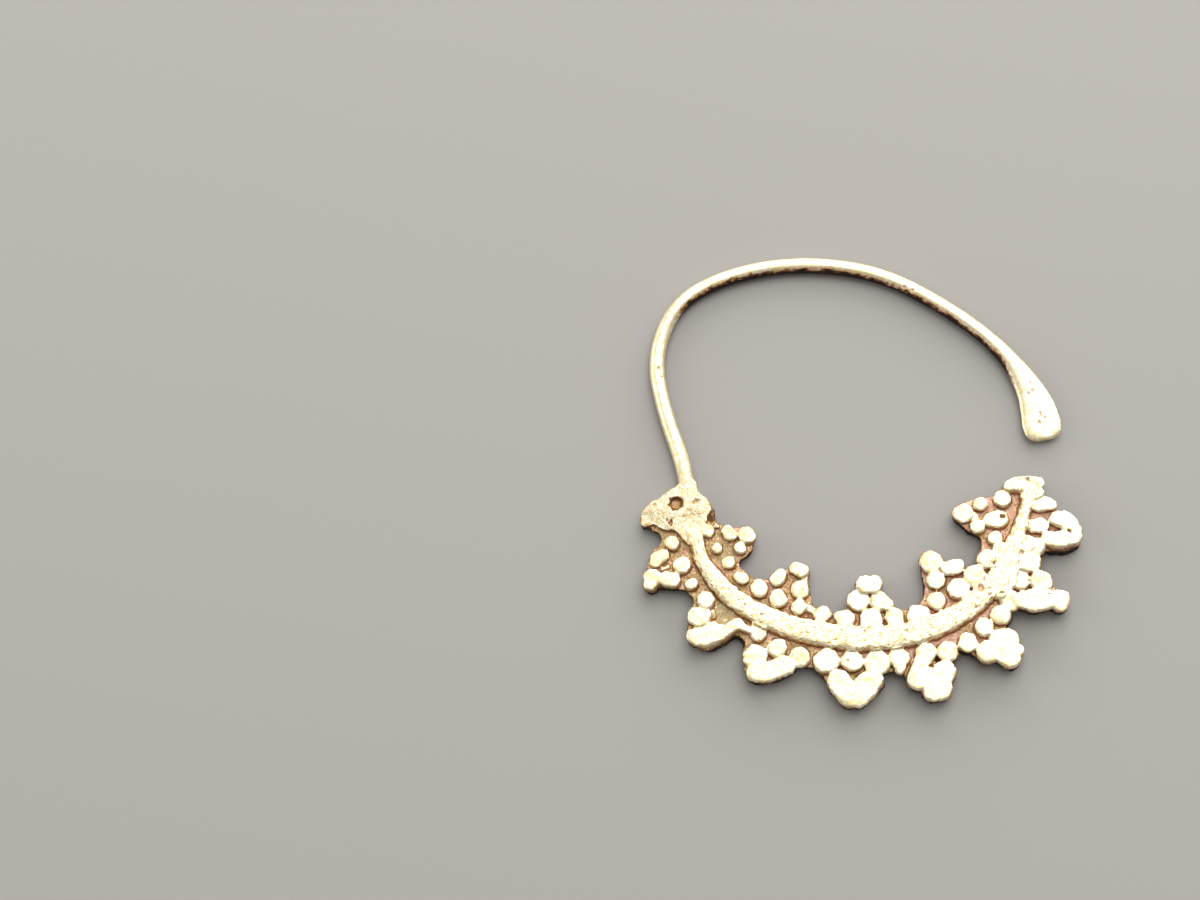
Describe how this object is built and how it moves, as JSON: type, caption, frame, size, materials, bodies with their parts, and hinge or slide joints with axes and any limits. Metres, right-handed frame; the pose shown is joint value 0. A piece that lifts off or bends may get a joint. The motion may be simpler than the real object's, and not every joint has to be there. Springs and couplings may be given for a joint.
{
  "type": "crescent hoop earring",
  "caption": "Open hoop earring with a flat crescent of fused grain lobes, a smooth rib along it, and a round ear wire with a flattened end.",
  "frame": {"origin": "middle of the outline, on the plane of the flat back", "axes": "+X to the right with the decorated face up, +Y from the crescent to the top of the hoop, +Z out of the decorated face"},
  "size_m": [0.0394, 0.0424, 0.0021],
  "materials": {
    "cast_brass": "worn cast brass, pale gold on the raised parts and brown in the recesses"
  },
  "bodies": {
    "root": {"earring": "cast_brass"}
  },
  "joints": []
}
